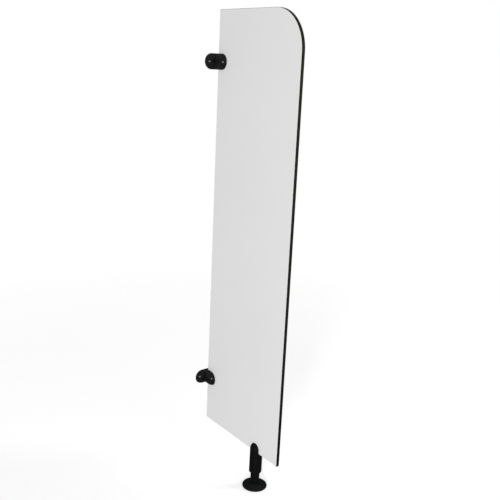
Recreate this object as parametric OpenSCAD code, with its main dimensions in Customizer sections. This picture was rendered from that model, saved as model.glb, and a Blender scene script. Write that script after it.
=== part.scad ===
// Wall-fixed urinal screen: a compact laminate panel, two wall brackets and one adjustable leg.
// Millimetres, +Z up. The origin is the centre of the foot's underside, on the floor.
// The wall is on the -X side, the near face of the panel looks to -Y.

/* [Panel] */
// Depth of the panel, from its wall edge to its front edge
panel_depth = 400; // [320:5:600]
// Height of the panel itself
panel_height = 1400; // [900:10:1900]
// Full thickness of the panel with both decorative sheets
panel_thickness = 12; // [10:0.5:14]
// Thickness of one decorative sheet
decor_thickness = 0.2; // [0.1:0.1:0.8]
// Radius of the rounded top front corner
corner_radius = 120; // [20:5:200]
// Width of the 45 degree chamfer on every edge, which bares the dark core
edge_chamfer = 1; // [0.5:0.1:1.5]
// Height of the panel's bottom edge above the floor
panel_above_floor = 128; // [125:1:134]

/* [Wall brackets] */
// Distance from the panel's top and bottom edges to the bracket centres
bracket_inset = 158; // [80:1:300]
// Gap between the panel and the wall, filled by the bracket's wall arm
wall_gap = 10; // [6:0.5:12]
// Length of the wall arm, from the panel's near face
wall_arm = 45; // [42:0.5:60]
// Length of the panel arm, from the panel's wall edge
panel_arm = 46.5; // [42:0.5:60]
// Height of a bracket, which is the width of both arms
bracket_height = 50; // [46:1:60]
// Height of the rounded back of an arm above its base
bracket_rise = 20; // [17:0.5:20]
// Distance of the screw axes from the panel's near face and wall edge
screw_offset = 27; // [27:0.5:30]
// Solid thickness under the wall screw's head
wall_screw_seat = 5; // [3:0.5:8]
// Solid thickness under the panel bolt's washer
panel_bolt_seat = 5; // [3:0.5:8]

/* [Fixings] */
// Diameter of the wall screw holes
wall_screw_hole = 6.5; // [5:0.1:8]
// Diameter of the recess that hides each screw head
recess_diameter = 13; // [12.5:0.1:13.5]
// Depth of a cover plug below the surface that it closes
plug_depth = 5; // [3:0.5:6]
// Wall of a cover plug's skirt
plug_wall = 1.2; // [0.8:0.1:2]
// Thickness of a cover plug's face at its edge
plug_face = 2; // [1.2:0.1:2.5]
// Radial clearance of a cover plug in its recess
plug_clearance = 0.05; // [0.02:0.01:0.1]
// Thread diameter of the panel and leg bolts
bolt_diameter = 5; // [4:0.5:6]
// Head diameter of those bolts
bolt_head_diameter = 9.5; // [8:0.1:10]
// Head height of those bolts
bolt_head_height = 2.8; // [2:0.1:3.5]
// Width across flats of the hexagon socket in the bolt heads
socket_width = 3; // [2:0.5:4]
// Diameter of the washer under a bolt head
washer_diameter = 12; // [10.5:0.1:12.3]
// Thickness of that washer
washer_thickness = 1; // [0.5:0.1:1.5]
// Outer diameter of a sleeve nut's barrel
sleeve_diameter = 8; // [7:0.1:9]
// Diameter of a sleeve nut's head
sleeve_head_diameter = 12; // [10.5:0.1:12.3]
// Height of a sleeve nut's head
sleeve_head_height = 2; // [1.2:0.1:3]
// Distance that a sleeve nut's barrel stops short of the near face
sleeve_setback = 1; // [0.5:0.5:3]
// Distance that a bolt stops short of its sleeve nut's head
bolt_setback = 1; // [0.5:0.5:3]
// Radial clearance of bolts and sleeves in their holes
hole_clearance = 0.2; // [0.1:0.05:0.4]
// Radial clearance between the threads, drawn as plain cylinders
thread_clearance = 0.05; // [0.02:0.01:0.1]

/* [Leg body] */
// Distance from the panel's front edge to the leg's axis
leg_setback = 112; // [60:1:200]
// Diameter of the slotted leg body
leg_diameter = 42; // [40:0.5:48]
// Height of the straight part of the cheeks above the panel's bottom edge
cheek_straight = 10; // [8:1:20]
// Distance from the panel's bottom edge to the bottom of the leg body
leg_drop = 75; // [73:1:83]
// Radius of the leg body's rounded bottom edge
leg_edge_radius = 2.5; // [1:0.5:3]
// Height of the cheek bolt above the panel's bottom edge
cheek_bolt_height = 12; // [10:1:14]
// Solid thickness of a cheek under the bolt's washer and the nut's head
cheek_seat = 5; // [3:0.5:6]
// Diameter of the threaded leg screw
leg_screw_diameter = 12; // [10:1:14]
// Thread pitch of the leg screw
leg_screw_pitch = 1.75; // [1:0.25:2.5]
// Width across flats of the leg screw's hexagon head
leg_screw_head_width = 18; // [16:1:21]
// Height of that head
leg_screw_head = 7.5; // [5:0.5:9]
// Depth of the head's pocket below the slot floor
head_pocket = 10; // [9.5:0.5:14]
// Thickness of the body below the head's pocket
head_web = 10; // [8:1:12]

/* [Adjuster] */
// Outer diameter of the turning sleeve
tube_diameter = 30; // [28:0.5:32]
// Wall of the turning sleeve
tube_wall = 4.5; // [3:0.5:5]
// Length of the sleeve inside the leg body
tube_engagement = 32; // [28:1:34]
// Length of the threaded insert in the top of the sleeve
insert_length = 18; // [12:1:24]
// Width across corners of the threaded insert
insert_width = 24; // [20:0.5:26]
// Distance that the leg screw reaches below the leg body
leg_screw_reach = 14; // [5:1:20]
// Radial running clearance of the sleeve in the leg body and the foot
running_clearance = 0.08; // [0.04:0.01:0.1]

/* [Foot] */
// Diameter of the domed rosette
rosette_diameter = 82; // [78:1:100]
// Height of the rosette's upright rim
rosette_rim = 4; // [2.5:0.5:5]
// Height of the rosette where it meets the sleeve
rosette_height = 13; // [11:0.5:14]
// Wall of the rosette
rosette_wall = 2; // [1.5:0.1:2.5]
// Radial clearance between the rosette and the sleeve
rosette_clearance = 0.4; // [0.3:0.1:1]
// Diameter of the foot plate
plate_diameter = 60; // [56:1:62]
// Thickness of the rubber pad under the foot plate
pad_thickness = 1.5; // [1:0.5:2]
// Thickness of the foot plate
plate_thickness = 3; // [2.5:0.5:3.5]
// Height of the hollow spigot on which the sleeve turns
spigot_height = 22; // [16:1:24]
// Wall of that spigot
spigot_wall = 3; // [2.5:0.1:3.2]
// Thickness of the washer under the sleeve
thrust_thickness = 1; // [0.5:0.1:1.5]
// Height of the retaining ring above the foot plate
ring_height = 11; // [8:0.5:12]
// Thickness of the ring that keeps the sleeve on the spigot
ring_thickness = 1.2; // [1:0.1:1.5]
// Depth of the ring's seat in the spigot
ring_seat = 1.2; // [0.8:0.1:1.5]
// Depth to which the ring reaches into the sleeve
ring_reach = 1.2; // [0.8:0.1:1.5]
// Play of the ring in the sleeve's groove
ring_play = 0.2; // [0.1:0.05:0.3]
// Diameter of the circle of floor screw holes
floor_screw_circle = 44; // [42:1:46]
// Diameter of the floor screw holes
floor_screw_hole = 5; // [4:0.1:5.5]

/* [Hidden] */

$fn = 96;
// Overshoot of the cutting shapes
cut = 1;

// Colours as the photograph shows them
core_colour = [0.13, 0.11, 0.09];
decor_colour = [0.86, 0.86, 0.86];
nylon_colour = [0.06, 0.06, 0.07];
steel_colour = [0.70, 0.71, 0.72];
zinc_colour = [0.62, 0.62, 0.60];
brass_colour = [0.75, 0.62, 0.32];
rubber_colour = [0.09, 0.09, 0.09];

// Panel places, with the leg's axis at x = 0 and the panel's middle plane at y = 0
face_y = panel_thickness / 2;
edge_x = leg_setback - panel_depth;
wall_x = edge_x - wall_gap;
front_x = leg_setback;
panel_bottom = panel_above_floor;
panel_top = panel_bottom + panel_height;

// Bracket places
upper_z = panel_top - bracket_inset;
lower_z = panel_bottom + bracket_inset;
arm_half = bracket_height / 2;
arm_back_radius = (pow(arm_half, 2) + pow(bracket_rise, 2)) / (2 * bracket_rise);
wall_screw_y = -face_y - screw_offset;
panel_bolt_x = edge_x + screw_offset;
recess_r = recess_diameter / 2;
plug_r = recess_r - plug_clearance;
// Height of the skirt of a cheek plug
plug_lip = 1;

// Leg places
leg_r = leg_diameter / 2;
leg_bottom = panel_bottom - leg_drop;
cheek_centre = panel_bottom + cheek_straight;
cheek_bolt_z = panel_bottom + cheek_bolt_height;
cheek_seat_y = face_y + cheek_seat;
tube_r = tube_diameter / 2;
tube_bore_r = tube_r - tube_wall;
tube_top = leg_bottom + tube_engagement;
tube_bottom = pad_thickness + plate_thickness + thrust_thickness;
pocket_floor = panel_bottom - head_pocket;
bore_top = pocket_floor - head_web;
leg_screw_r = leg_screw_diameter / 2;
// Depth of the leg screw's thread, which is the chamfer of its end
leg_thread_depth = 0.6 * leg_screw_pitch;

// Foot places
plate_r = plate_diameter / 2;
plate_top = pad_thickness + plate_thickness;
spigot_r = tube_bore_r - running_clearance;
ring_bottom = plate_top + ring_height;
rosette_r = rosette_diameter / 2;
rosette_bore_r = tube_r + rosette_clearance;
// The rosette's dome is a sphere through its rim and its bore
rosette_sphere_z = (pow(rosette_bore_r, 2) + pow(rosette_height, 2)
                    - pow(rosette_r, 2) - pow(rosette_rim, 2))
                   / (2 * (rosette_height - rosette_rim));
rosette_sphere_r = sqrt(pow(rosette_r, 2) + pow(rosette_rim - rosette_sphere_z, 2));

// ---- Panel ----

// How far a chamfered edge stands back at a depth in the panel
function edge_inset(y) = max(0, abs(y) - face_y + edge_chamfer);

// The depths at which a chamfered edge turns, with both ends of a layer
function edge_depths(y_low, y_high) = concat(
    y_low,
    [for (y = [edge_chamfer - face_y, face_y - edge_chamfer]) if (y > y_low && y < y_high) y],
    y_high);

// A layer's section: along +X a span whose ends are chamfered or square, along +Y its depth
module layer_section(start, end, y_low, y_high, start_chamfered, end_chamfered) {
    depths = edge_depths(y_low, y_high);
    polygon(concat(
        [for (y = depths) [start + (start_chamfered ? edge_inset(y) : 0), y]],
        [for (i = [len(depths) - 1 : -1 : 0])
            [end - (end_chamfered ? edge_inset(depths[i]) : 0), depths[i]]]));
}

// The layer behind the rounded corner, up to the panel's full height
module wall_side(y_low, y_high) {
    intersection() {
        translate([0, 0, panel_bottom - cut])
            linear_extrude(panel_height + 2 * cut)
                layer_section(edge_x, front_x - corner_radius, y_low, y_high, true, false);
        translate([front_x, 0, 0])
            rotate([0, -90, 0])
                linear_extrude(panel_depth + cut)
                    layer_section(panel_bottom, panel_top, y_low, y_high, true, true);
    }
}

// The layer below the rounded corner
module front_side(y_low, y_high) {
    intersection() {
        translate([0, 0, panel_bottom - cut])
            linear_extrude(panel_height)
                layer_section(front_x - corner_radius, front_x, y_low, y_high, false, true);
        translate([front_x + cut, 0, 0])
            rotate([0, -90, 0])
                linear_extrude(panel_depth)
                    layer_section(panel_bottom, panel_top - corner_radius, y_low, y_high, true, false);
    }
}

module round_corner(y_low, y_high) {
    translate([front_x - corner_radius, 0, panel_top - corner_radius])
        rotate([90, 0, 0])
            rotate_extrude(angle = 90)
                layer_section(0, corner_radius, -y_high, -y_low, false, true);
}

// A hole along Y through the whole panel
module panel_hole(x, z) {
    translate([x, -face_y - cut, z])
        rotate([-90, 0, 0])
            cylinder(r = sleeve_diameter / 2 + hole_clearance, h = panel_thickness + 2 * cut);
}

// The layer of the finished panel between two distances from its middle plane
module panel_layer(y_low, y_high) {
    difference() {
        union() {
            wall_side(y_low, y_high);
            front_side(y_low, y_high);
            round_corner(y_low, y_high);
        }
        panel_hole(panel_bolt_x, upper_z);
        panel_hole(panel_bolt_x, lower_z);
        panel_hole(0, cheek_bolt_z);
    }
}

module panel_core() {
    color(core_colour)
        panel_layer(decor_thickness - face_y, face_y - decor_thickness);
}

module near_decor_sheet() {
    color(decor_colour)
        panel_layer(-face_y, decor_thickness - face_y);
}

module far_decor_sheet() {
    color(decor_colour)
        panel_layer(face_y - decor_thickness, face_y);
}

// ---- Wall brackets ----

// Half of an arm's cross-section: a base line and a rounded back
module arm_half_section() {
    intersection() {
        translate([0, bracket_rise - arm_back_radius])
            circle(arm_back_radius);
        square([arm_half, bracket_rise]);
    }
}

// An arm along +X from its start, with a round end and its rounded back towards +Z
module arm(length) {
    straight = length - arm_half;
    rotate([90, 0, 90])
        linear_extrude(straight) {
            arm_half_section();
            mirror([1, 0])
                arm_half_section();
        }
    translate([straight, 0, 0])
        rotate([0, 0, -90])
            rotate_extrude(angle = 180)
                arm_half_section();
}

// Turns +X to -Y and +Z to +X, for what is built on the wall
module on_wall() {
    rotate([-90, 0, 0])
        rotate([0, 90, 0])
            children();
}

// Turns +Z to -Y, for what is built on the near face
module on_near_face() {
    rotate([90, 0, 0])
        children();
}

// Turns +Z to +Y, for what is built on the far face
module on_far_face() {
    rotate([-90, 0, 0])
        children();
}

module wall_arm_blank() {
    translate([wall_x, face_y, 0])
        on_wall()
            arm(wall_arm + panel_thickness);
}

module panel_arm_blank() {
    translate([wall_x, -face_y, 0])
        on_near_face()
            arm(wall_gap + panel_arm);
}

// Both arms of a bracket, centred on z = 0, without their holes
module bracket_blank() {
    difference() {
        union() {
            wall_arm_blank();
            panel_arm_blank();
        }
        translate([edge_x, -face_y, -arm_half - cut])
            cube([bracket_rise, panel_thickness + cut, bracket_height + 2 * cut]);
    }
}

// The space of a screw and its recess, along +Z from the surface that it fastens to
module screw_space(hole_d, seat) {
    translate([0, 0, -cut])
        cylinder(d = hole_d, h = bracket_rise);
    translate([0, 0, seat])
        cylinder(r = recess_r, h = bracket_rise);
}

module wall_screw_place() {
    translate([wall_x, wall_screw_y, 0])
        rotate([0, 90, 0])
            children();
}

module panel_bolt_place() {
    translate([panel_bolt_x, -face_y, 0])
        on_near_face()
            children();
}

module bracket(z) {
    color(nylon_colour)
        translate([0, 0, z])
            difference() {
                bracket_blank();
                wall_screw_place()
                    screw_space(wall_screw_hole, wall_screw_seat);
                panel_bolt_place()
                    screw_space(bolt_diameter + 2 * hole_clearance, panel_bolt_seat);
            }
}

// The cup-shaped body of a plug along +Z, before its face takes the shape round it
module plug_blank(bottom, height) {
    difference() {
        translate([0, 0, bottom])
            cylinder(r = plug_r, h = height);
        translate([0, 0, bottom - cut])
            cylinder(r = plug_r - plug_wall, h = plug_depth - plug_face + cut);
    }
}

// Farthest distance of a recess's edge from the crown, when its axis lies that far beyond the crown
function recess_reach(beyond) = recess_r + max(0, beyond);

// Height of an arm's rounded back at a distance from its crown
function back_height(distance) =
    bracket_rise - arm_back_radius + sqrt(pow(arm_back_radius, 2) - pow(distance, 2));

module wall_plug(z) {
    bottom = back_height(recess_reach(screw_offset + arm_half - wall_arm)) - plug_depth;
    color(nylon_colour)
        translate([0, 0, z])
            intersection() {
                wall_arm_blank();
                wall_screw_place()
                    plug_blank(bottom, bracket_rise);
            }
}

module panel_plug(z) {
    bottom = back_height(recess_reach(screw_offset + arm_half - panel_arm)) - plug_depth;
    color(nylon_colour)
        translate([0, 0, z])
            intersection() {
                panel_arm_blank();
                panel_bolt_place()
                    plug_blank(bottom, bracket_rise);
            }
}

// ---- Bolts, washers and sleeve nuts, along +Z ----

// A bolt whose head stands on z = 0 and whose shank goes down by its length
module bolt(length) {
    difference() {
        union() {
            cylinder(d = bolt_head_diameter, h = bolt_head_height);
            translate([0, 0, -length])
                cylinder(d = bolt_diameter, h = length);
        }
        translate([0, 0, bolt_head_height / 3])
            cylinder(d = socket_width / cos(30), h = bolt_head_height, $fn = 6);
    }
}

module washer() {
    difference() {
        cylinder(d = washer_diameter, h = washer_thickness);
        translate([0, 0, -cut])
            cylinder(d = bolt_diameter + 2 * hole_clearance, h = washer_thickness + 2 * cut);
    }
}

// A sleeve nut whose head stands on z = 0 and whose barrel goes down by its length
module sleeve_nut(length) {
    difference() {
        union() {
            cylinder(d = sleeve_head_diameter, h = sleeve_head_height);
            translate([0, 0, -length])
                cylinder(d = sleeve_diameter, h = length);
        }
        translate([0, 0, -length - cut])
            cylinder(d = bolt_diameter + 2 * thread_clearance, h = length + cut);
        translate([0, 0, sleeve_head_height / 2])
            cylinder(d = socket_width / cos(30), h = sleeve_head_height, $fn = 6);
    }
}

module bracket_bolt(z) {
    length = washer_thickness + panel_bolt_seat + panel_thickness - bolt_setback;
    color(steel_colour)
        translate([0, 0, z])
            panel_bolt_place()
                translate([0, 0, panel_bolt_seat + washer_thickness])
                    bolt(length);
}

module bracket_washer(z) {
    color(steel_colour)
        translate([0, 0, z])
            panel_bolt_place()
                translate([0, 0, panel_bolt_seat])
                    washer();
}

module bracket_sleeve_nut(z) {
    color(steel_colour)
        translate([panel_bolt_x, face_y, z])
            on_far_face()
                sleeve_nut(panel_thickness - sleeve_setback);
}

module upper_bracket() { bracket(upper_z); }
module upper_wall_plug() { wall_plug(upper_z); }
module upper_panel_plug() { panel_plug(upper_z); }
module upper_bolt() { bracket_bolt(upper_z); }
module upper_washer() { bracket_washer(upper_z); }
module upper_sleeve_nut() { bracket_sleeve_nut(upper_z); }

module lower_bracket() { bracket(lower_z); }
module lower_wall_plug() { wall_plug(lower_z); }
module lower_panel_plug() { panel_plug(lower_z); }
module lower_bolt() { bracket_bolt(lower_z); }
module lower_washer() { bracket_washer(lower_z); }
module lower_sleeve_nut() { bracket_sleeve_nut(lower_z); }

// ---- Leg body and what it holds ----

// The outer form of the leg body: a round bar with a ball top and a rounded bottom edge
module leg_blank() {
    translate([0, 0, cheek_centre])
        sphere(r = leg_r);
    translate([0, 0, leg_bottom + leg_edge_radius])
        cylinder(r = leg_r, h = cheek_centre - leg_bottom - leg_edge_radius);
    translate([0, 0, leg_bottom])
        rotate_extrude() {
            square([leg_r - leg_edge_radius, leg_edge_radius]);
            translate([leg_r - leg_edge_radius, leg_edge_radius])
                intersection() {
                    circle(leg_edge_radius);
                    translate([0, -leg_edge_radius])
                        square(leg_edge_radius);
                }
        }
}

// The hole and the recess of one cheek, along +Z from the panel's face
module cheek_space(hole_d) {
    translate([0, 0, -cut])
        cylinder(d = hole_d, h = leg_r);
    translate([0, 0, cheek_seat])
        cylinder(r = recess_r, h = leg_r);
}

module near_cheek_place() {
    translate([0, -face_y, cheek_bolt_z])
        on_near_face()
            children();
}

module far_cheek_place() {
    translate([0, face_y, cheek_bolt_z])
        on_far_face()
            children();
}

module leg_body() {
    color(nylon_colour)
        difference() {
            leg_blank();
            translate([-leg_r - cut, -face_y, panel_bottom])
                cube([leg_diameter + 2 * cut, panel_thickness, leg_diameter + cheek_straight]);
            translate([0, 0, leg_bottom - cut])
                cylinder(r = tube_r + running_clearance, h = bore_top - leg_bottom + cut);
            translate([0, 0, bore_top - cut])
                cylinder(r = leg_screw_r + thread_clearance, h = head_web + 2 * cut);
            translate([0, 0, pocket_floor])
                cylinder(d = leg_screw_head_width / cos(30) + 2 * hole_clearance,
                         h = head_pocket + cut, $fn = 6);
            near_cheek_place()
                cheek_space(bolt_diameter + 2 * hole_clearance);
            far_cheek_place()
                cheek_space(sleeve_diameter + 2 * hole_clearance);
        }
}

module leg_bolt() {
    length = washer_thickness + cheek_seat + panel_thickness + cheek_seat - bolt_setback;
    color(steel_colour)
        near_cheek_place()
            translate([0, 0, cheek_seat + washer_thickness])
                bolt(length);
}

module leg_washer() {
    color(steel_colour)
        near_cheek_place()
            translate([0, 0, cheek_seat])
                washer();
}

module leg_sleeve_nut() {
    color(steel_colour)
        far_cheek_place()
            translate([0, 0, cheek_seat])
                sleeve_nut(cheek_seat + panel_thickness - sleeve_setback);
}

// A plug in a cheek, whose face follows the leg body's outer form
module cheek_plug() {
    edge = recess_reach(cheek_bolt_height - cheek_straight);
    bottom = sqrt(pow(leg_r, 2) - pow(edge, 2)) - face_y - plug_face - plug_lip;
    intersection() {
        difference() {
            translate([0, 0, bottom])
                cylinder(r = plug_r, h = leg_r);
            translate([0, 0, bottom - cut])
                cylinder(r = plug_r - plug_wall, h = plug_lip + cut);
        }
        translate([0, 0, -face_y])
            rotate([-90, 0, 0])
                translate([0, 0, -cheek_bolt_z])
                    leg_blank();
    }
}

module leg_bolt_plug() {
    color(nylon_colour)
        near_cheek_place()
            cheek_plug();
}

module leg_nut_plug() {
    color(nylon_colour)
        far_cheek_place()
            mirror([0, 1, 0])
                cheek_plug();
}

module leg_screw() {
    color(steel_colour) {
        translate([0, 0, leg_bottom - leg_screw_reach])
            cylinder(r1 = leg_screw_r - leg_thread_depth, r2 = leg_screw_r, h = leg_thread_depth);
        translate([0, 0, leg_bottom - leg_screw_reach + leg_thread_depth])
            cylinder(r = leg_screw_r, h = pocket_floor - leg_bottom + leg_screw_reach - leg_thread_depth);
        translate([0, 0, pocket_floor])
            cylinder(d = leg_screw_head_width / cos(30), h = leg_screw_head, $fn = 6);
    }
}

// ---- Adjuster ----

module adjuster_sleeve() {
    color(nylon_colour)
        difference() {
            translate([0, 0, tube_bottom])
                cylinder(r = tube_r, h = tube_top - tube_bottom);
            translate([0, 0, tube_bottom - cut])
                cylinder(r = tube_bore_r, h = tube_top - tube_bottom - insert_length + cut);
            translate([0, 0, tube_top - insert_length - cut])
                cylinder(d = insert_width, h = insert_length + 2 * cut, $fn = 6);
            translate([0, 0, ring_bottom - ring_play])
                cylinder(r = tube_bore_r + ring_reach + ring_play,
                         h = ring_thickness + 2 * ring_play);
        }
}

module adjuster_insert() {
    color(brass_colour)
        translate([0, 0, tube_top - insert_length])
            difference() {
                cylinder(d = insert_width, h = insert_length, $fn = 6);
                translate([0, 0, -cut])
                    cylinder(r = leg_screw_r + thread_clearance, h = insert_length + 2 * cut);
            }
}

// ---- Foot ----

// The holes for the floor screws, through everything from the floor up
module floor_screw_holes(height) {
    for (turn = [0, 120, 240])
        rotate([0, 0, turn])
            translate([floor_screw_circle / 2, 0, -cut])
                cylinder(d = floor_screw_hole, h = height + 2 * cut);
}

module floor_pad() {
    color(rubber_colour)
        difference() {
            cylinder(r = plate_r, h = pad_thickness);
            floor_screw_holes(pad_thickness);
        }
}

module foot_plate() {
    color(zinc_colour)
        difference() {
            union() {
                translate([0, 0, pad_thickness])
                    cylinder(r = plate_r, h = plate_thickness);
                translate([0, 0, plate_top])
                    cylinder(r = spigot_r, h = spigot_height);
            }
            translate([0, 0, plate_top])
                cylinder(r = spigot_r - spigot_wall, h = spigot_height + cut);
            translate([0, 0, ring_bottom])
                difference() {
                    cylinder(r = spigot_r + cut, h = ring_thickness);
                    translate([0, 0, -cut])
                        cylinder(r = spigot_r - ring_seat, h = ring_thickness + 2 * cut);
                }
            floor_screw_holes(plate_top);
        }
}

module thrust_washer() {
    color(steel_colour)
        translate([0, 0, plate_top])
            difference() {
                cylinder(r = tube_r, h = thrust_thickness);
                translate([0, 0, -cut])
                    cylinder(r = tube_bore_r, h = thrust_thickness + 2 * cut);
            }
}

module retaining_ring() {
    color(steel_colour)
        translate([0, 0, ring_bottom])
            difference() {
                cylinder(r = tube_bore_r + ring_reach, h = ring_thickness);
                translate([0, 0, -cut])
                    cylinder(r = spigot_r - ring_seat, h = ring_thickness + 2 * cut);
            }
}

// The solid dome of the rosette, drawn in by a wall thickness
module rosette_dome(inset) {
    cylinder(r = rosette_r - inset, h = rosette_rim - inset / 2);
    intersection() {
        translate([0, 0, rosette_sphere_z])
            sphere(r = rosette_sphere_r - inset);
        cylinder(r = rosette_r - inset, h = rosette_height + rosette_wall);
    }
}

module rosette() {
    color(nylon_colour)
        difference() {
            rosette_dome(0);
            translate([0, 0, -cut])
                cylinder(r = rosette_r - rosette_wall, h = 2 * cut);
            rosette_dome(rosette_wall);
            translate([0, 0, -cut])
                cylinder(r = rosette_bore_r, h = rosette_height + rosette_wall + 2 * cut);
        }
}

panel_core();
near_decor_sheet();
far_decor_sheet();
upper_bracket();
upper_wall_plug();
upper_panel_plug();
upper_bolt();
upper_washer();
upper_sleeve_nut();
lower_bracket();
lower_wall_plug();
lower_panel_plug();
lower_bolt();
lower_washer();
lower_sleeve_nut();
leg_body();
leg_bolt();
leg_washer();
leg_sleeve_nut();
leg_bolt_plug();
leg_nut_plug();
leg_screw();
adjuster_sleeve();
adjuster_insert();
foot_plate();
thrust_washer();
retaining_ring();
floor_pad();
rosette();
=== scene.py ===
"""Looks of a wall-fixed urinal screen: laminate panel, nylon brackets and an adjustable leg.

The frame has +Z up, the wall on -X and the near face on -Y. The pieces are modelled in millimetres and
handed over in metres; the sizes of patterns, reliefs and lamps are in metres.
"""

import logging
import math
from dataclasses import dataclass
from enum import Enum

import bpy
from mathutils import Matrix, Vector


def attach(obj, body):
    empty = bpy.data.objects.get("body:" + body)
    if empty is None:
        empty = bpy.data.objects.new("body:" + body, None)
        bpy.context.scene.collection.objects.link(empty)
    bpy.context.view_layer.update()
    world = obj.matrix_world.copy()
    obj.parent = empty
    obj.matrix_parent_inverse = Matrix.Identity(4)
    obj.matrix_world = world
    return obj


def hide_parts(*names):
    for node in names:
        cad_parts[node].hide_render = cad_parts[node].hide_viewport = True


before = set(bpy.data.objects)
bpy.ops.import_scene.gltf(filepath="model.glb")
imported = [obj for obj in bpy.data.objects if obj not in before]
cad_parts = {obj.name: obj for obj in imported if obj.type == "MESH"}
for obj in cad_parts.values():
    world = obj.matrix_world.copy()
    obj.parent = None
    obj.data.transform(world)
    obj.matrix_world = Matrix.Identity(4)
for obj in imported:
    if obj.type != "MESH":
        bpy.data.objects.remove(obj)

Colour = tuple[float, float, float]
Place = tuple[float, float, float]
Pair = tuple[float, float]
Section = list[Pair]
Shape = bpy.types.Object
Socket = bpy.types.NodeSocket
Feed = Socket | float | Colour

MM = 0.001
PAST = 1.0  # how far a cutter reaches past what it cuts, in millimetres
EDGE_ANGLE = 32.0  # least angle between two faces that meet in an edge, in degrees
HALF_SIDE = 30.0  # turn that gives a hexagon a corner on +X and flats towards Y, in degrees

WHITE = (1.0, 1.0, 1.0)
LEG_BLACK = (0.0020, 0.0028, 0.0026)
# The rosette's black is painted lighter than the leg's: painted light for its upward face, lit from above.
ROSETTE_BLACK_PAINTED_LIGHT = (0.0062, 0.0071, 0.0068)

log = logging.getLogger("urinal_screen")


class Grain(Enum):
    """How a pattern runs over a surface."""

    EVEN = (1.0, 1.0, 1.0)
    SHEETS = (1.0, 60.0, 1.0)
    TURNED = (1.0, 1.0, 24.0)


class Graph:
    """A graph of nodes under construction."""

    def __init__(self, tree: bpy.types.NodeTree) -> None:
        """Start with no node."""
        self.tree = tree
        self.tree.nodes.clear()

    def add(self, kind: str, *first: Feed, **named: Feed) -> bpy.types.Node:
        """Add a node, and feed its inputs."""
        node = self.tree.nodes.new("ShaderNode" + kind)
        return self.feed(node, *first, **named)

    def feed(self, node: bpy.types.Node, *first: Feed, **named: Feed) -> bpy.types.Node:
        """Feed the inputs of a node, each with a plain value or from an output.

        Args:
            node: The node.
            first: What feeds its first inputs, in their order.
            named: What feeds its inputs of these names, with underscores for spaces.

        Returns:
            The node.
        """
        feeds = dict(enumerate(first)) | {key.replace("_", " "): value for key, value in named.items()}
        for key, value in feeds.items():
            target = node.inputs[key]
            if isinstance(value, Socket):
                self.tree.links.new(value, target)
            else:
                target.default_value = (*value, 1.0) if target.type == "RGBA" else value
        return node


class Shader(Graph):
    """The graph of a material, with one principled shader."""

    def __init__(self, name: str) -> None:
        """Start an empty material.

        Args:
            name: Name of the material.
        """
        self.material = bpy.data.materials.new(name)
        self.material.use_nodes = True
        super().__init__(self.material.node_tree)
        self.surface = self.add("BsdfPrincipled")
        self.output = self.add("OutputMaterial", Surface=self.surface.outputs["BSDF"])
        self.place = self.add("TexCoord").outputs["Object"]

    def dress(self, **named: Feed) -> None:
        """Feed the principled shader's inputs of these names."""
        self.feed(self.surface, **named)

    def noise(self, size: float, detail: float = 2.0, grain: Grain = Grain.EVEN) -> Socket:
        """Add a noise pattern.

        Args:
            size: Size of its features, in metres.
            detail: Octaves of finer noise.
            grain: How the pattern runs.

        Returns:
            A value about 0.5.
        """
        place = self.add("Mapping", Scale=grain.value, Vector=self.place).outputs["Vector"]
        noise = self.add("TexNoise", Scale=1.0 / size, Detail=detail, Roughness=0.55, Vector=place)
        return noise.outputs["Fac"]

    def rise(self, source: Socket, low: float, high: float, start: float = 0.0, end: float = 1.0) -> Socket:
        """Map a value from the span between low and high to that between start and end, and hold it."""
        node = self.add("MapRange", Value=source, From_Min=low, From_Max=high, To_Min=start, To_Max=end)
        return node.outputs["Result"]

    def uneven(self, pattern: Socket, low: float, high: float) -> Socket:
        """Let a value wander between low and high with a noise pattern."""
        return self.rise(pattern, 0.3, 0.7, low, high)

    def blend(self, factor: Socket, low: Feed, high: Colour, way: str = "MIX") -> Socket:
        """Blend two colours.

        Args:
            factor: 0 gives low alone and 1 the full effect of high.
            low: The first colour.
            high: The second colour.
            way: MIX or MULTIPLY.

        Returns:
            The blended colour.
        """
        node = self.add("Mix")
        node.data_type = "RGBA"
        node.blend_type = way
        return self.feed(node, Factor=factor, A=low, B=high).outputs["Result"]

    def dull_at_edge(self, roughness: Socket, extra: float) -> Socket:
        """Make a gloss duller where the surface turns away, as a fine moulded texture does.

        Args:
            roughness: The roughness seen square on.
            extra: What is added to it where the surface turns away.

        Returns:
            The roughness.
        """
        facing = self.add("LayerWeight", Blend=0.5).outputs["Facing"]
        node = self.add("Math", roughness, self.rise(facing, 0.10, 0.45, 0.0, extra))
        node.operation = "ADD"
        return node.outputs["Value"]

    def relief(self, height: Socket, depth: float) -> None:
        """Give the surface a relief of a depth in metres."""
        bump = self.add("Bump", Strength=1.0, Distance=depth, Height=height)
        self.dress(Normal=bump.outputs["Normal"])


@dataclass(frozen=True)
class DecorLaminate:
    """Pale decorative sheet with a fine suede texture."""

    tone: Colour = (0.716, 0.716, 0.716)
    pale: float = 1.006
    dull: float = 0.990
    roughness: Pair = (0.454, 0.474)
    suede: float = 0.00003

    def build(self) -> Shader:
        """Build the material.

        Returns:
            Its graph.
        """
        shader = Shader("pale_decor")
        cloud = shader.rise(shader.noise(0.35, 3.0), 0.35, 0.65)
        dull, pale = (tuple(level * c for c in self.tone) for level in (self.dull, self.pale))
        gloss = shader.uneven(shader.noise(0.06), *self.roughness)
        shader.dress(Base_Color=shader.blend(cloud, dull, pale), Roughness=gloss)
        shader.relief(shader.noise(0.0011), self.suede)
        return shader


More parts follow.
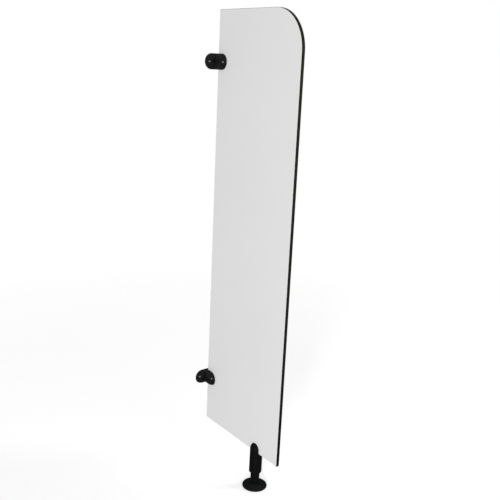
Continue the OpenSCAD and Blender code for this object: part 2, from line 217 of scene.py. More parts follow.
@dataclass(frozen=True)
class PhenolicCore:
    """Brown-black core of pressed kraft sheets, with painted light: lighter at the top and darker towards
    the floor, as light from above falls on it.
    """

    # top and bottom are the core's colour with painted light, lighter at the top and darker at the bottom;
    # heights give where that painted shade runs between them.
    top: Colour = (0.0172, 0.0132, 0.0080)
    bottom: Colour = (0.0030, 0.0032, 0.0022)
    heights: Pair = (0.12, 1.50)
    sheet: Colour = (0.80, 0.79, 0.78)
    roughness: Pair = (0.56, 0.70)
    ridges: float = 0.00006
    gloss: float = 0.05

    def build(self) -> Shader:
        """Build the material.

        Returns:
            Its graph.
        """
        shader = Shader("kraft_core")
        height = shader.add("SeparateXYZ", Vector=shader.place).outputs["Z"]
        # Painted light: the core's tone blends by height from the darker bottom to the lighter top.
        tone = shader.blend(shader.rise(height, *self.heights), self.bottom, self.top)
        sheets = shader.rise(shader.noise(0.012, 1.0, Grain.SHEETS), 0.4, 0.6)
        shader.dress(
            Base_Color=shader.blend(sheets, tone, self.sheet, "MULTIPLY"),
            Roughness=shader.uneven(shader.noise(0.02, 3.0), *self.roughness),
            Specular_IOR_Level=self.gloss,
        )
        shader.relief(shader.noise(0.010, 2.0, Grain.SHEETS), self.ridges)
        return shader


@dataclass(frozen=True)
class MouldedNylon:
    """Black moulded nylon with a spark-eroded texture and faint scuffs."""

    name: str
    tone: Colour = (0.0014, 0.0015, 0.0013)
    roughness: float = 0.20
    texture: float = 0.0007
    gloss: float = 0.145
    dulling: float = 0.60
    wear: float = 1.6
    depth: float = 0.00002

    def build(self) -> Shader:
        """Build the material.

        Returns:
            Its graph.
        """
        shader = Shader(self.name)
        scuff = shader.rise(shader.noise(0.018, 4.0), 0.56, 0.74)
        worn = tuple(self.wear * c for c in self.tone)
        satin = shader.uneven(shader.noise(0.009, 3.0), self.roughness - 0.05, self.roughness + 0.08)
        shader.dress(
            Base_Color=shader.blend(scuff, self.tone, worn),
            Roughness=shader.dull_at_edge(satin, self.dulling),
            Specular_IOR_Level=self.gloss,
        )
        shader.relief(shader.noise(self.texture), self.depth)
        return shader


@dataclass(frozen=True)
class MachinedMetal:
    """Turned, rolled or plated metal with fine tool lines."""

    name: str
    tone: Colour
    tarnish: Colour
    roughness: float = 0.28
    grain: Grain = Grain.TURNED
    depth: float = 0.000008

    def build(self) -> Shader:
        """Build the material.

        Returns:
            Its graph.
        """
        shader = Shader(self.name)
        stain = shader.rise(shader.noise(0.004, 3.0), 0.45, 0.7)
        lines = shader.noise(0.0012, 3.0, self.grain)
        shader.dress(
            Base_Color=shader.blend(stain, self.tone, self.tarnish),
            Roughness=shader.uneven(lines, self.roughness - 0.08, self.roughness + 0.1),
            Metallic=1.0,
        )
        shader.relief(lines, self.depth)
        return shader


@dataclass(frozen=True)
class PadRubber:
    """Matt black rubber with a fine grain and some dust."""

    tone: Colour = (0.012, 0.012, 0.012)
    dust: Colour = (0.035, 0.034, 0.032)
    grain: float = 0.00004

    def build(self) -> Shader:
        """Build the material.

        Returns:
            Its graph.
        """
        shader = Shader("dusty_rubber")
        dust = shader.rise(shader.noise(0.006, 4.0), 0.5, 0.75)
        shader.dress(
            Base_Color=shader.blend(dust, self.tone, self.dust), Roughness=0.85, Specular_IOR_Level=0.3
        )
        shader.relief(shader.noise(0.0005), self.grain)
        return shader


class Body(Enum):
    """The bodies that the pieces ride on."""

    SCREEN = "screen"
    FOOT = "foot"
    ADJUSTER = "adjuster"
    ROSETTE = "rosette"


class Finishes:
    """The finishes of the whole screen, one for each material slot of the record."""

    def __init__(self) -> None:
        """Build every finish once."""
        kinds = {
            "laminate_core": PhenolicCore(),
            "decor_sheet": DecorLaminate(),
            "bracket_nylon": MouldedNylon("satin_black_bracket"),
            "cover_plug_nylon": MouldedNylon("satin_black_plug", roughness=0.30, gloss=0.08),
            "leg_nylon": MouldedNylon("matt_black_leg", LEG_BLACK, 0.52, 0.0009, 0.05),
            "sleeve_nylon": MouldedNylon("matt_black_sleeve", LEG_BLACK, 0.46, 0.0008, 0.05),
            # Painted light: the rosette's nylon tone is lighter than the leg's for its upward face.
            "rosette_nylon": MouldedNylon("matt_black_rosette", ROSETTE_BLACK_PAINTED_LIGHT, 0.50, 0.0010, 0.06),
            "fixing_steel": MachinedMetal("turned_steel", (0.60, 0.61, 0.62), (0.42, 0.42, 0.41)),
            "leg_screw_steel": MachinedMetal("rolled_steel", (0.56, 0.56, 0.55), (0.36, 0.35, 0.33), 0.34),
            "plate_zinc": MachinedMetal(
                "dull_zinc", (0.52, 0.52, 0.50), (0.40, 0.40, 0.38), 0.42, Grain.EVEN
            ),
            "insert_brass": MachinedMetal("cut_brass", (0.60, 0.42, 0.14), (0.38, 0.25, 0.08)),
            "pad_rubber": PadRubber(),
        }
        self.slots = {slot: kind.build().material for slot, kind in kinds.items()}


class Bench:
    """A bench for modelling in millimetres with Blender's own tools."""

    @staticmethod
    def pick(*pieces: Shape) -> None:
        """Select these pieces alone, the last of them active.

        Args:
            pieces: The pieces.
        """
        bpy.ops.object.select_all(action="DESELECT")
        for piece in pieces:
            piece.select_set(True)
            bpy.context.view_layer.objects.active = piece

    @staticmethod
    def arc(centre: Pair, radius: float, start: float, end: float, steps: int) -> Section:
        """Give the points of an arc in a section, with angles in degrees from the radial direction."""
        turns = [math.radians(start + (end - start) * i / steps) for i in range(steps + 1)]
        return [(centre[0] + radius * math.cos(t), centre[1] + radius * math.sin(t)) for t in turns]

    @staticmethod
    def corners(flats: float) -> float:
        """Give the width of a hexagon across its corners from that across its flats."""
        return flats / math.cos(math.pi / 6.0)

    @staticmethod
    def turn(section: Section, steps: int = 96) -> Shape:
        """Turn a section round the Z axis.

        Args:
            section: Radius and height of each corner; a ring's section closes by itself.
            steps: Number of faces round the axis.

        Returns:
            The closed piece.
        """
        Bench.pick()
        points = list(section)
        if points[0][0] > 0.0 or points[-1][0] > 0.0:
            points.append(points[0])
        bpy.ops.mesh.primitive_plane_add(size=1.0)
        piece = bpy.context.object
        bpy.ops.object.mode_set(mode="EDIT")
        bpy.ops.mesh.select_all(action="SELECT")
        bpy.ops.mesh.merge(type="CENTER")
        bpy.ops.transform.translate(value=(points[0][0], 0.0, points[0][1]))
        for (r0, z0), (r1, z1) in zip(points, points[1:]):
            bpy.ops.mesh.extrude_vertices_move(TRANSFORM_OT_translate={"value": (r1 - r0, 0.0, z1 - z0)})
        bpy.ops.mesh.select_all(action="SELECT")
        bpy.ops.mesh.spin(steps=steps, angle=2.0 * math.pi, center=(0.0, 0.0, 0.0), axis=(0.0, 0.0, 1.0))
        bpy.ops.object.mode_set(mode="OBJECT")
        Bench.mend(piece)
        return piece

    @staticmethod
    def prism(corners: int, width: float, low: float, high: float, turn: float = 0.0) -> Shape:
        """Make an upright prism or round bar on the Z axis, to cut with or to start from.

        Args:
            corners: Number of its corners.
            width: Distance across its corners.
            low: Height of its underside.
            high: Height of its top.
            turn: Turn about its axis, in degrees.

        Returns:
            The prism.
        """
        Bench.pick()
        bpy.ops.mesh.primitive_cylinder_add(
            vertices=corners,
            radius=width / 2.0,
            depth=high - low,
            location=(0.0, 0.0, (low + high) / 2.0),
            rotation=(0.0, 0.0, math.radians(turn)),
        )
        return Bench.settle(bpy.context.object)

    @staticmethod
    def block(low: Place, high: Place) -> Shape:
        """Make a block between two corners, to cut with.

        Args:
            low: Its lowest corner.
            high: Its highest corner.

        Returns:
            The block.
        """
        Bench.pick()
        bpy.ops.mesh.primitive_cube_add(size=1.0, location=[(a + b) / 2.0 for a, b in zip(low, high)])
        block = bpy.context.object
        block.scale = [b - a for a, b in zip(low, high)]
        return Bench.settle(block)

    @staticmethod
    def settle(piece: Shape, place: Matrix | None = None) -> Shape:
        """Put a piece in its place, and keep that place in its mesh.

        Args:
            piece: The piece.
            place: Where it goes, from where it was made.

        Returns:
            The piece.
        """
        Bench.pick(piece)
        if place is not None:
            piece.matrix_world = place @ piece.matrix_world
        bpy.ops.object.transform_apply(location=True, rotation=True, scale=True)
        return piece

    @staticmethod
    def combine(piece: Shape, other: Shape, way: str = "DIFFERENCE") -> None:
        """Cut, add or intersect a piece with another, which is used up.

        Args:
            piece: The piece.
            other: The other.
            way: DIFFERENCE, UNION or INTERSECT.
        """
        Bench.pick(piece)
        modifier = piece.modifiers.new("shape", "BOOLEAN")
        modifier.operation = way
        modifier.solver = "EXACT"
        modifier.object = other
        bpy.ops.object.modifier_apply(modifier=modifier.name)
        bpy.data.objects.remove(other)

    @staticmethod
    def mend(piece: Shape) -> None:
        """Merge what coincides in a piece, and turn its faces outwards.

        Args:
            piece: The piece.
        """
        Bench.pick(piece)
        bpy.ops.object.mode_set(mode="EDIT")
        bpy.ops.mesh.select_mode(type="VERT")
        bpy.ops.mesh.select_all(action="SELECT")
        bpy.ops.mesh.remove_doubles(threshold=0.0008)
        bpy.ops.mesh.normals_make_consistent(inside=False)
        bpy.ops.object.mode_set(mode="OBJECT")

    @staticmethod
    def soften(piece: Shape, width: float) -> None:
        """Take the sharpness off every edge.

        Args:
            piece: The piece.
            width: Width of the rounding.
        """
        Bench.pick(piece)
        modifier = piece.modifiers.new("soften", "BEVEL")
        modifier.width = width
        modifier.segments = 2
        modifier.limit_method = "ANGLE"
        modifier.angle_limit = math.radians(EDGE_ANGLE)
        bpy.ops.object.modifier_apply(modifier=modifier.name)

    @staticmethod
    def press_thread(
        piece: Shape, radius: float, low: float, high: float, pitch: float, depth: float, flank: float = 2.7
    ) -> None:
        """Press a helical thread into a round bar on the Z axis that has rows enough for it.

        Args:
            piece: The bar.
            radius: Its outer radius.
            low: Height where the thread starts.
            high: Height where it ends.
            pitch: Rise of one turn.
            depth: Depth of the groove.
            flank: Steepness of its flanks, in depths for a pitch.
        """
        for vertex in piece.data.vertices:
            x, y, z = vertex.co
            reach = math.hypot(x, y)
            if abs(reach - radius) > 0.01 or not low < z < high:
                continue
            phase = (z / pitch - math.atan2(y, x) / (2.0 * math.pi)) % 1.0
            groove = min(1.0, flank * (0.5 - abs(phase - 0.5)))
            fade = min(1.0, (z - low) / pitch, (high - z) / pitch)
            scale = 1.0 - depth * groove * fade / reach
            vertex.co = (x * scale, y * scale, z)


@dataclass
class Assembly:
    """A sub-assembly of the screen, modelled in millimetres and handed over piece by piece."""

    finishes: Finishes

    def hand_over(
        self, shape: Shape, node: str, slot: str, body: Body = Body.SCREEN, place: Matrix | None = None
    ) -> None:
        """Bring a shape to its place in the frame, where it replaces a node, and dress it.

        Args:
            shape: The shape.
            node: The node.
            slot: The material slot.
            body: The body that it rides on.
            place: Where it goes, in millimetres.
        """
        Bench.settle(shape, place)
        Bench.settle(shape, Matrix.Scale(MM, 4))
        bpy.ops.object.shade_smooth_by_angle(angle=math.radians(EDGE_ANGLE))
        shape.name = "made_" + node
        shape.data.name = shape.name
        shape.data.materials.clear()
        shape.data.materials.append(self.finishes.slots[slot])
        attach(shape, body.value)
        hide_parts(node)
        log.info("made %s: %d faces", node, len(shape.data.polygons))

    def hand_over_each(self, shape: Shape, part: str, slot: str, places: dict[str, Matrix]) -> None:
        """Hand over a copy of a shape of the screen for each set that has this part.

        Args:
            shape: The shape, modelled once; it is used up.
            part: What the part is called in a set.
            slot: The material slot.
            places: Where it goes in each set, by the set's name.
        """
        for name, place in places.items():
            Bench.pick(shape)
            bpy.ops.object.duplicate(linked=False)
            self.hand_over(bpy.context.object, f"{name}_{part}", slot, place=place)
        bpy.data.objects.remove(shape)


@dataclass
class Panel(Assembly):
    """The laminate panel: a dark core between two pale sheets."""

    near_face: float = -6.0
    far_face: float = 6.0
    wall_edge: float = -288.0

    @property
    def thickness(self) -> float:
        """Give the panel's thickness."""
        return self.far_face - self.near_face

    def near(self, x: float, z: float) -> Matrix:
        """Give the place on the near face, at x and height z, whose +Z looks away from the panel."""
        return Matrix.Translation((x, self.near_face, z)) @ Matrix.Rotation(math.pi / 2.0, 4, "X")

    def far(self, x: float, z: float) -> Matrix:
        """Give the place on the far face, at x and height z, whose +Z looks away from the panel."""
        return Matrix.Translation((x, self.far_face, z)) @ Matrix.Rotation(-math.pi / 2.0, 4, "X")

    def build(self) -> None:
        """Dress the solids of the three layers."""
        sheet = "decor_sheet"
        layers = {"panel_core": "laminate_core", "near_decor_sheet": sheet, "far_decor_sheet": sheet}
        for node, slot in layers.items():
            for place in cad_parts[node].material_slots:
                place.material = self.finishes.slots[slot]
            log.info("dressed %s", node)


@dataclass(frozen=True)
class CoverPlug:
    """A round cover plug, and the recess over a screw's head that it closes."""

    radius: float = 6.45
    recess: float = 6.5
    seat: float = 5.0
    skirt: float = 1.2
    lip: float = 0.3
    notch: Pair = (2.4, 0.7)
    softening: float = 0.25

    def drill(self, shape: Shape, place: Matrix, hole: float, top: float) -> None:
        """Drill a piece for the screw, and sink the recess.

        Args:
            shape: The piece.
            place: Place of the screw on the face that the piece lies on, +Z into the piece.
            hole: Diameter of the screw's hole.
            top: Height of the piece above that face.
        """
        bore = Bench.prism(40, hole, -PAST, top)
        recess = Bench.prism(64, 2.0 * self.recess, self.seat, top + PAST)
        for cutter in (bore, recess):
            Bench.combine(shape, Bench.settle(cutter, place))

    def make(
        self, blank: Shape, place: Matrix, low: float, hollow: float, notch_floor: float, top: float
    ) -> Shape:
        """Make the plug, whose face follows the closed piece and has a notch to prise it out.

        Args:
            blank: The closed piece's undrilled form, which is used up.
            place: Place of the screw; the notch is on its -Y side.
            low: Height of the skirt's lower end above the screw's place.
            hollow: Depth of the hollow in the skirt.
            notch_floor: Height of the notch's floor.
            top: Height that the blank doesn't reach.

        Returns:
            The plug.
        """
        inner = self.radius - self.skirt
        section = [(0.0, low + hollow), (inner, low + hollow), (inner, low)]
        section += [(self.radius - self.lip, low), (self.radius, low + self.lip)]
        shape = Bench.turn([*section, (self.radius, top), (0.0, top)], 64)
        Bench.settle(shape, place)
        Bench.combine(shape, blank, "INTERSECT")
        width, depth = self.notch
        low_corner = (-width / 2.0, -self.radius - PAST, notch_floor)
        notch = Bench.block(low_corner, (width / 2.0, depth - self.radius, top + PAST))
        Bench.combine(shape, Bench.settle(notch, place))
        Bench.soften(shape, self.softening)
        return shape


@dataclass
class BoltSet(Assembly):
    """A socket bolt with its washer and its sleeve nut, at each place where they clamp the panel."""

    near: dict[str, Matrix]
    far: dict[str, Matrix]
    near_seat: float
    far_seat: float
    thickness: float
    diameter: float = 5.0
    pitch: float = 0.8
    thread: float = 0.45
    plain: float = 2.0
    tip: float = 0.6
    head: Pair = (9.5, 2.8)
    crown: float = 1.2
    socket: float = 3.0
    washer: Pair = (12.0, 1.0)
    washer_play: float = 0.2
    sleeve: float = 8.0
    sleeve_play: float = 0.05
    sleeve_head: Pair = (12.0, 2.0)
    dome: float = 1.0
    setback: float = 1.0
    edge: float = 0.4

    def socket_cutter(self, low: float) -> Shape:
        """Make the hexagon that sinks a socket from a height upwards."""
        return Bench.prism(6, Bench.corners(self.socket), low, low + 2.0 * self.socket)

    @staticmethod
    def seated(places: dict[str, Matrix], height: float) -> dict[str, Matrix]:
        """Raise every place to a seat at a height above the panel's face."""
        return {name: place @ Matrix.Translation((0.0, 0.0, height)) for name, place in places.items()}

    def bolt(self) -> None:
        """Make the bolt, with a rolled thread and a rounded head."""
        width, height = self.head
        radius = self.diameter / 2.0
        length = self.washer[1] + self.near_seat + self.thickness + self.far_seat - self.setback
        rows = int(length / self.pitch * 6.0)
        shank = [(radius, -length + self.tip + (length - self.tip) * i / rows) for i in range(rows + 1)]
        crown = Bench.arc((width / 2.0 - self.crown, height - self.crown), self.crown, 0.0, 90.0, 4)
        section = [(0.0, -length), (radius - self.tip, -length), *shank, (width / 2.0, 0.0), *crown]
        shape = Bench.turn([*section, (0.0, height)], 40)
        Bench.press_thread(shape, radius, -length + self.tip + 0.1, -self.plain, self.pitch, self.thread)
        Bench.combine(shape, self.socket_cutter(height / 3.0))
        seats = self.seated(self.near, self.near_seat + self.washer[1])
        self.hand_over_each(shape, "bolt", "fixing_steel", seats)

    def washer_ring(self) -> None:
        """Make the washer, with one edge rounded by the punch."""
        outer, height, edge = self.washer[0] / 2.0, self.washer[1], self.edge
        bore, burr = self.diameter / 2.0 + self.washer_play, 0.15
        section = [(bore, 0.0), (outer, 0.0), *Bench.arc((outer - edge, height - edge), edge, 0.0, 90.0, 4)]
        shape = Bench.turn([*section, (bore + burr, height), (bore, height - burr)], 64)
        self.hand_over_each(shape, "washer", "fixing_steel", self.seated(self.near, self.near_seat))

    def nut(self) -> None:
        """Make the sleeve nut, with a domed head and chamfered mouth."""
        outer, height = self.sleeve_head[0] / 2.0, self.sleeve_head[1]
        barrel, bore = self.sleeve / 2.0, self.diameter / 2.0 + self.sleeve_play
        end, edge = self.setback - self.far_seat - self.thickness, self.edge
        section = [(0.0, 0.0), (bore, 0.0), (bore, end + edge), (bore + edge, end)]
        section += [(barrel - edge, end), (barrel, end + edge), (barrel, 0.0), (outer, 0.0)]
        section += Bench.arc((outer - self.dome, height - self.dome), self.dome, 0.0, 78.0, 5)
        shape = Bench.turn([*section, (0.0, height)], 64)
        Bench.combine(shape, self.socket_cutter(height / 2.0))
        self.hand_over_each(shape, "sleeve_nut", "fixing_steel", self.seated(self.far, self.far_seat))

    def build(self) -> None:
        """Build the sets."""
        self.bolt()
        self.washer_ring()
        self.nut()


@dataclass
class WallBrackets(Assembly):
    """The corner brackets, each of two rounded arms with a cover plug in each."""

    panel: Panel
    plug: CoverPlug = CoverPlug()
    heights: tuple[tuple[str, float], ...] = (("upper", 1370.0), ("lower", 286.0))
    wall: float = -298.0
    half: float = 25.0
    rise: float = 20.0
    wall_arm: float = 45.0
    panel_arm: float = 46.5
    screw_offset: float = 27.0
    wall_hole: float = 6.5
    panel_hole: float = 5.4
    plug_height: float = 5.0
    plug_face: float = 2.0
    notch_depth: float = 3.4
    softening: float = 0.35

    @property
    def back_radius(self) -> float:
        """Give the radius of an arm's rounded back."""
        return (self.half**2 + self.rise**2) / (2.0 * self.rise)

    def arm(self, length: float) -> Shape:
        """Make an arm along +X, with a round end and its rounded back upwards.

        Args:
            length: Its length.

        Returns:
            The arm.
        """
        sink = self.back_radius - self.rise
        start = math.degrees(math.asin(sink / self.back_radius))
        back = Bench.arc((0.0, -sink), self.back_radius, start, 90.0, 20)
        shape = Bench.turn([(0.0, 0.0), *back[:-1], (0.0, self.rise)])
        Bench.pick(shape)
        bpy.ops.object.mode_set(mode="EDIT")
        bpy.ops.mesh.select_all(action="SELECT")
        bpy.ops.mesh.bisect(plane_co=(0.0, 0.0, 0.0), plane_no=(1.0, 0.0, 0.0), clear_inner=True)
        bpy.ops.mesh.select_mode(type="EDGE")
        bpy.ops.mesh.select_all(action="DESELECT")
        bpy.ops.mesh.select_non_manifold()
        bpy.ops.mesh.extrude_region_move(TRANSFORM_OT_translate={"value": (self.half - length, 0.0, 0.0)})
        bpy.ops.mesh.edge_face_add()
        bpy.ops.object.mode_set(mode="OBJECT")
        Bench.mend(shape)
        return Bench.settle(shape, Matrix.Translation((length - self.half, 0.0, 0.0)))

    def wall_blank(self) -> Shape:
        """Make the arm that stands on the wall, centred on z = 0."""
        place = self.panel.far(self.wall, 0.0) @ Matrix.Rotation(math.pi / 2.0, 4, "Y")
        return Bench.settle(self.arm(self.wall_arm + self.panel.thickness), place)

    def panel_blank(self) -> Shape:
        """Make the arm that lies on the near face, centred on z = 0."""
        length = self.panel.wall_edge - self.wall + self.panel_arm
        return Bench.settle(self.arm(length), self.panel.near(self.wall, 0.0))

    def wall_screw(self) -> Matrix:
        """Give the place of the wall screw, +Z away from the wall."""
        place = Matrix.Translation((self.wall, self.panel.near_face - self.screw_offset, 0.0))
        return place @ Matrix.Rotation(math.pi / 2.0, 4, "Y")

    def panel_screw(self) -> Matrix:
        """Give the place of the panel bolt, +Z away from the panel."""
        return self.panel.near(self.panel.wall_edge + self.screw_offset, 0.0)

    def lifts(self) -> dict[str, Matrix]:
        """Give the way up from z = 0 to each bracket."""
        return {name: Matrix.Translation((0.0, 0.0, height)) for name, height in self.heights}

    def moulding(self) -> None:
        """Make the bracket: a wall arm slotted for the panel, joined to a panel arm, both drilled."""
        shape = self.wall_blank()
        self.plug.drill(shape, self.wall_screw(), self.wall_hole, self.rise)
        side = self.half + PAST
        low = (self.panel.wall_edge, self.panel.near_face, -side)
        high = (self.panel.wall_edge + self.rise, self.panel.far_face + PAST, side)
        Bench.combine(shape, Bench.block(low, high))
        panel_arm = self.panel_blank()
        self.plug.drill(panel_arm, self.panel_screw(), self.panel_hole, self.rise)
        Bench.combine(shape, panel_arm, "UNION")
        Bench.mend(shape)
        Bench.soften(shape, self.softening)
        self.hand_over_each(shape, "bracket", "bracket_nylon", self.lifts())

    def cover(self, part: str, blank: Shape, place: Matrix, arm: float) -> None:
        """Make a cover plug, its lower end a plug's height below the lowest edge of its recess.

        Args:
            part: What the plug is called in a set.
            blank: The undrilled arm, which is used up.
            place: Place of the arm's screw.
            arm: Length of the arm beyond the corner.
        """
        reach = self.plug.recess + max(0.0, self.screw_offset + self.half - arm)
        low = self.rise - self.back_radius + math.sqrt(self.back_radius**2 - reach**2) - self.plug_height
        hollow, notch_floor = self.plug_height - self.plug_face, self.rise - self.notch_depth
        shape = self.plug.make(blank, place, low, hollow, notch_floor, self.rise + 2.0 * PAST)
        self.hand_over_each(shape, part, "cover_plug_nylon", self.lifts())

    def build(self) -> None:
        """Build the brackets, their plugs and their bolts."""
        self.moulding()
        self.cover("wall_plug", self.wall_blank(), self.wall_screw(), self.wall_arm)
        self.cover("panel_plug", self.panel_blank(), self.panel_screw(), self.panel_arm)
        x = self.panel.wall_edge + self.screw_offset
        near = {name: self.panel.near(x, height) for name, height in self.heights}
        far = {name: self.panel.far(x, height) for name, height in self.heights}
        BoltSet(self.finishes, near, far, self.plug.seat, 0.0, self.panel.thickness).build()


@dataclass
class SlottedLeg(Assembly):
    """The leg body that straddles the panel's bottom edge, with its bolt, plugs and screw."""

    panel: Panel
    plug: CoverPlug = CoverPlug()
    radius: float = 21.0
    bottom: float = 53.0
    slot: float = 128.0
    ball: float = 138.0
    bolt_height: float = 140.0
    holes: Pair = (5.4, 8.4)
    plug_height: float = 3.0
    plug_hollow: float = 1.0
    notch_floor: float = 11.6
    edge: float = 2.5
    softening: float = 0.4
    bore: float = 15.08
    bore_top: float = 108.0
    pocket: float = 118.0
    pocket_play: float = 0.4
    screw: float = 6.0
    screw_play: float = 0.1
    screw_end: float = 39.0
    pitch: float = 1.75
    flats: float = 18.0
    head: float = 7.5
    head_edge: Pair = (0.5, 0.6)

    def blank(self) -> Shape:
        """Make the outer form: a round bar with a ball top and a rounded bottom edge.

        Returns:
            The form.
        """
        foot = Bench.arc((self.radius - self.edge, self.bottom + self.edge), self.edge, -90.0, 0.0, 6)
        ball = Bench.arc((0.0, self.ball), self.radius, 0.0, 90.0, 24)
        return Bench.turn([(0.0, self.bottom), *foot, *ball[:-1], (0.0, self.ball + self.radius)])

    def moulding(self) -> None:
        """Make the leg body: slotted, bored, pocketed and drilled."""
        wide, top = self.radius + PAST, self.ball + self.radius + PAST
        head = Bench.corners(self.flats) + self.pocket_play
        slot = Bench.block((-wide, self.panel.near_face, self.slot), (wide, self.panel.far_face, top))
        bore = Bench.prism(96, 2.0 * self.bore, self.bottom - PAST, self.bore_top)
        web = Bench.prism(64, 2.0 * self.screw + self.screw_play, self.bore_top - PAST, self.pocket + PAST)
        pocket = Bench.prism(6, head, self.pocket, self.slot + PAST, HALF_SIDE)
        shape = self.blank()
        for cutter in (slot, bore, web, pocket):
            Bench.combine(shape, cutter)
        for place, hole in zip(self.bolt_places(), self.holes):
            self.plug.drill(shape, place, hole, self.radius)
        Bench.soften(shape, self.softening)
        self.hand_over(shape, "leg_body", "leg_nylon")

    def bolt_places(self) -> tuple[Matrix, Matrix]:
        """Give the bolt's place on the near face and on the far face."""
        return self.panel.near(0.0, self.bolt_height), self.panel.far(0.0, self.bolt_height)

    def cover(self, node: str, place: Matrix) -> None:
        """Make a cheek plug.

        Args:
            node: Node that it stands for.
            place: Place of its axis on the panel's face, its notch on the -Y side.
        """
        reach = self.plug.recess + self.bolt_height - self.ball
        low = math.sqrt(self.radius**2 - reach**2) + self.panel.near_face - self.plug_height
        top = self.radius + PAST
        shape = self.plug.make(self.blank(), place, low, self.plug_hollow, self.notch_floor, top)
        self.hand_over(shape, node, "cover_plug_nylon")

    def threaded_screw(self) -> None:
        """Make the leg screw: a rolled thread below a hexagon head with rounded corners."""
        depth = 0.6 * self.pitch
        root, top = self.pocket, self.pocket + self.head
        rows = int((root - self.screw_end) / self.pitch * 8.0)
        low, neck = self.screw_end + depth, root + 0.5
        shank = [(self.screw, low + (neck - low) * i / rows) for i in range(rows + 1)]
        section = [(0.0, self.screw_end), (self.screw - depth, self.screw_end), *shank, (0.0, neck)]
        shape = Bench.turn(section, 48)
        Bench.press_thread(shape, self.screw, low + 0.01, self.bore_top, self.pitch, depth)
        head = Bench.prism(6, Bench.corners(self.flats), root, top, HALF_SIDE)
        under, corner, crown = 9.6, 10.38, 9.3
        section = [(0.0, root), (under, root), (corner, root + self.head_edge[0])]
        section += [(corner, top - self.head_edge[1]), (crown, top), (0.0, top)]
        Bench.combine(head, Bench.turn(section), "INTERSECT")
        Bench.combine(shape, head, "UNION")
        self.hand_over(shape, "leg_screw", "leg_screw_steel")

    def build(self) -> None:
        """Build the leg and what it holds."""
        near, far = self.bolt_places()
        seat = self.plug.seat
        self.moulding()
        self.cover("leg_bolt_plug", near)
        self.cover("leg_nut_plug", far @ Matrix.Rotation(math.pi, 4, "Z"))
        self.threaded_screw()
        BoltSet(self.finishes, {"leg": near}, {"leg": far}, seat, seat, self.panel.thickness).build()


@dataclass
class Adjuster(Assembly):
    """The turning sleeve with the threaded insert in its top."""

    radius: float = 15.0
    bore: float = 10.5
    bottom: float = 5.5
    top: float = 85.0
    insert: float = 18.0
    across: float = 24.0
    pilot: float = 9.0
    groove: Pair = (15.3, 16.9)
    groove_radius: float = 11.9
    screw: float = 6.05
    chamfer: float = 0.8

    def sleeve(self) -> None:
        """Make the sleeve, with chamfered ends and the groove of the retaining ring."""
        floor, pilot, groove = self.top - self.insert, self.pilot, self.groove_radius
        low, high = self.groove
        bore, radius, bottom, top = self.bore, self.radius, self.bottom, self.top
        lip, toe, shoulder = 0.4, 0.6, self.chamfer
        section = [(bore + lip, bottom), (radius - toe, bottom), (radius, bottom + toe)]
        section += [(radius, top - shoulder), (radius - shoulder, top), (pilot, top), (pilot, floor)]
        section += [(bore, floor), (bore, high), (groove, high), (groove, low), (bore, low)]
        shape = Bench.turn([*section, (bore, bottom + lip)])
        Bench.combine(shape, Bench.prism(6, self.across, floor, top + PAST, HALF_SIDE))
        Bench.soften(shape, 0.2)
        self.hand_over(shape, "adjuster_sleeve", "sleeve_nylon", Body.ADJUSTER)

    def threaded_insert(self) -> None:
        """Make the hexagon insert, with a chamfered bore."""
        low, high, bore = self.top - self.insert, self.top, self.screw
        mouth = bore + self.chamfer
        shape = Bench.prism(6, self.across, low, high, HALF_SIDE)
        section = [(0.0, low - PAST), (mouth, low - PAST), (mouth, low), (bore, low + self.chamfer)]
        section += [(bore, high - self.chamfer), (mouth, high), (mouth, high + PAST), (0.0, high + PAST)]
        Bench.combine(shape, Bench.turn(section, 64))
        Bench.soften(shape, 0.15)
        self.hand_over(shape, "adjuster_insert", "insert_brass", Body.ADJUSTER)

    def build(self) -> None:
        """Build the adjuster."""
        self.sleeve()
        self.threaded_insert()


